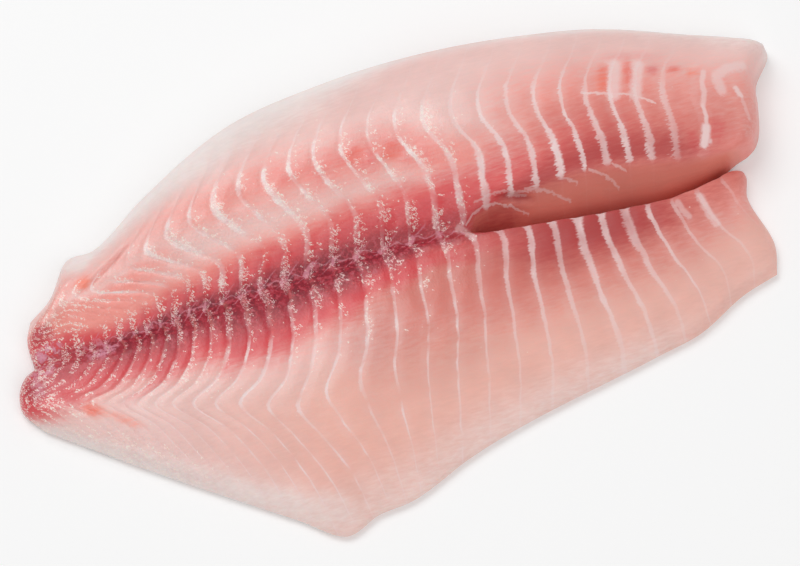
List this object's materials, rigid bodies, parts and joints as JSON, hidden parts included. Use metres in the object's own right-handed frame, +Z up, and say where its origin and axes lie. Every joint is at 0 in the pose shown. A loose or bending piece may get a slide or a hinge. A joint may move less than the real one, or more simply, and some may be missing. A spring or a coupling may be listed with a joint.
{
  "type": "tilapia fillet",
  "caption": "Raw skinless fish fillet lying cut side up: a thick back loin and a thin belly flap joined along a seam and parted towards the head end by the pin bone cut.",
  "frame": {"origin": "on the surface the fillet rests on, under the middle of its outline", "axes": "+X from the tail end to the head end along the fillet, +Y from the belly flap to the back loin, +Z up out of the cut side"},
  "size_m": [0.2051, 0.1172, 0.017],
  "materials": {
    "flesh": "wet raw fish flesh: pale pink with fine white sheets between the flakes and a dark red band along the seam"
  },
  "bodies": {
    "root": {"fillet": "flesh"}
  },
  "joints": []
}
